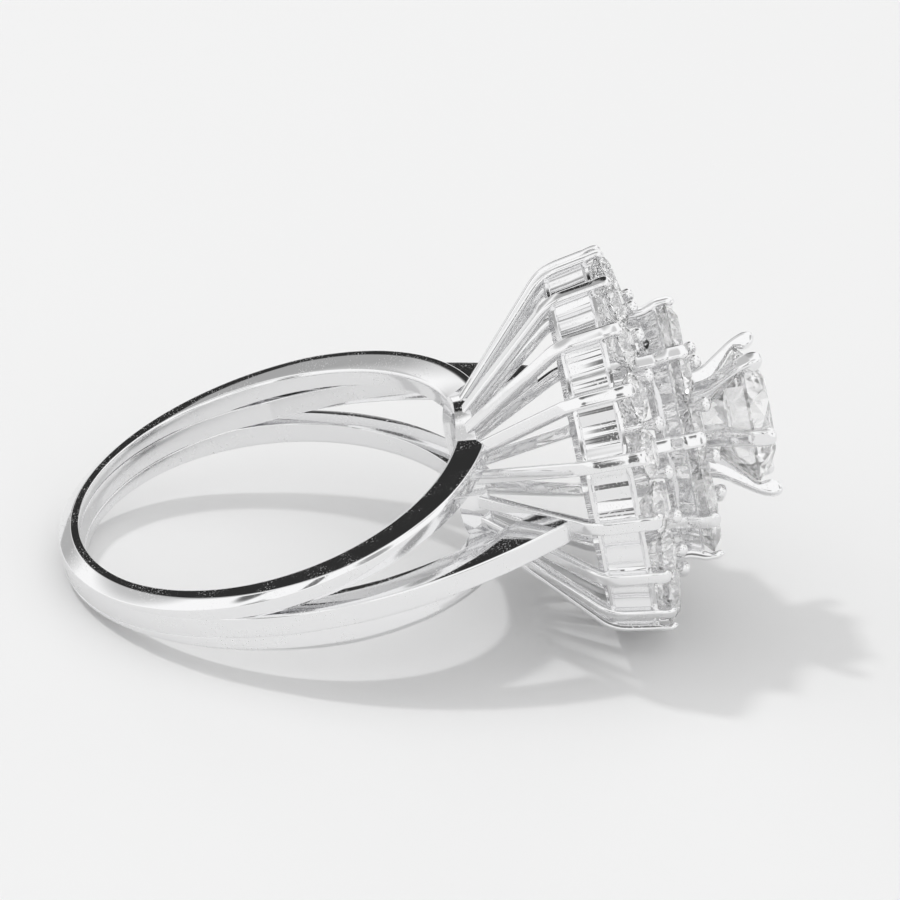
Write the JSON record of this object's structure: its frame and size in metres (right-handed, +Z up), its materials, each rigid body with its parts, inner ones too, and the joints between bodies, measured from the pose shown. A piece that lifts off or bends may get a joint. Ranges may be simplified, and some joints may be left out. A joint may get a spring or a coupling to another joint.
{
  "type": "diamond cluster ring",
  "caption": "Tall cocktail ring: split band, open wire basket and two tiers of round stones under a claw-set centre stone, lying on its side.",
  "frame": {"origin": "middle of the ring's footprint on the surface that it lies on", "axes": "+X along the ring from the back of the band to the centre stone, +Z up from the surface; the head's axis is raised by the ring's resting tilt, and the finger hole's axis leans back by as much"},
  "size_m": [0.0312, 0.0206, 0.0167],
  "materials": {
    "platinum": "mirror polished",
    "diamond": "polished facets"
  },
  "bodies": {
    "root": {"mounting": "platinum", "centre_stone": "diamond", "inner_stone_1": "diamond", "inner_stone_2": "diamond", "inner_stone_3": "diamond", "inner_stone_4": "diamond", "inner_stone_5": "diamond", "inner_stone_6": "diamond", "inner_stone_7": "diamond", "inner_stone_8": "diamond", "inner_stone_9": "diamond", "outer_stone_1": "diamond", "outer_stone_2": "diamond", "outer_stone_3": "diamond", "outer_stone_4": "diamond", "outer_stone_5": "diamond", "outer_stone_6": "diamond", "outer_stone_7": "diamond", "outer_stone_8": "diamond", "outer_stone_9": "diamond", "outer_stone_10": "diamond", "outer_stone_11": "diamond", "outer_stone_12": "diamond", "outer_stone_13": "diamond", "outer_stone_14": "diamond", "outer_stone_15": "diamond", "outer_stone_16": "diamond", "outer_stone_17": "diamond", "outer_stone_18": "diamond"}
  },
  "joints": []
}
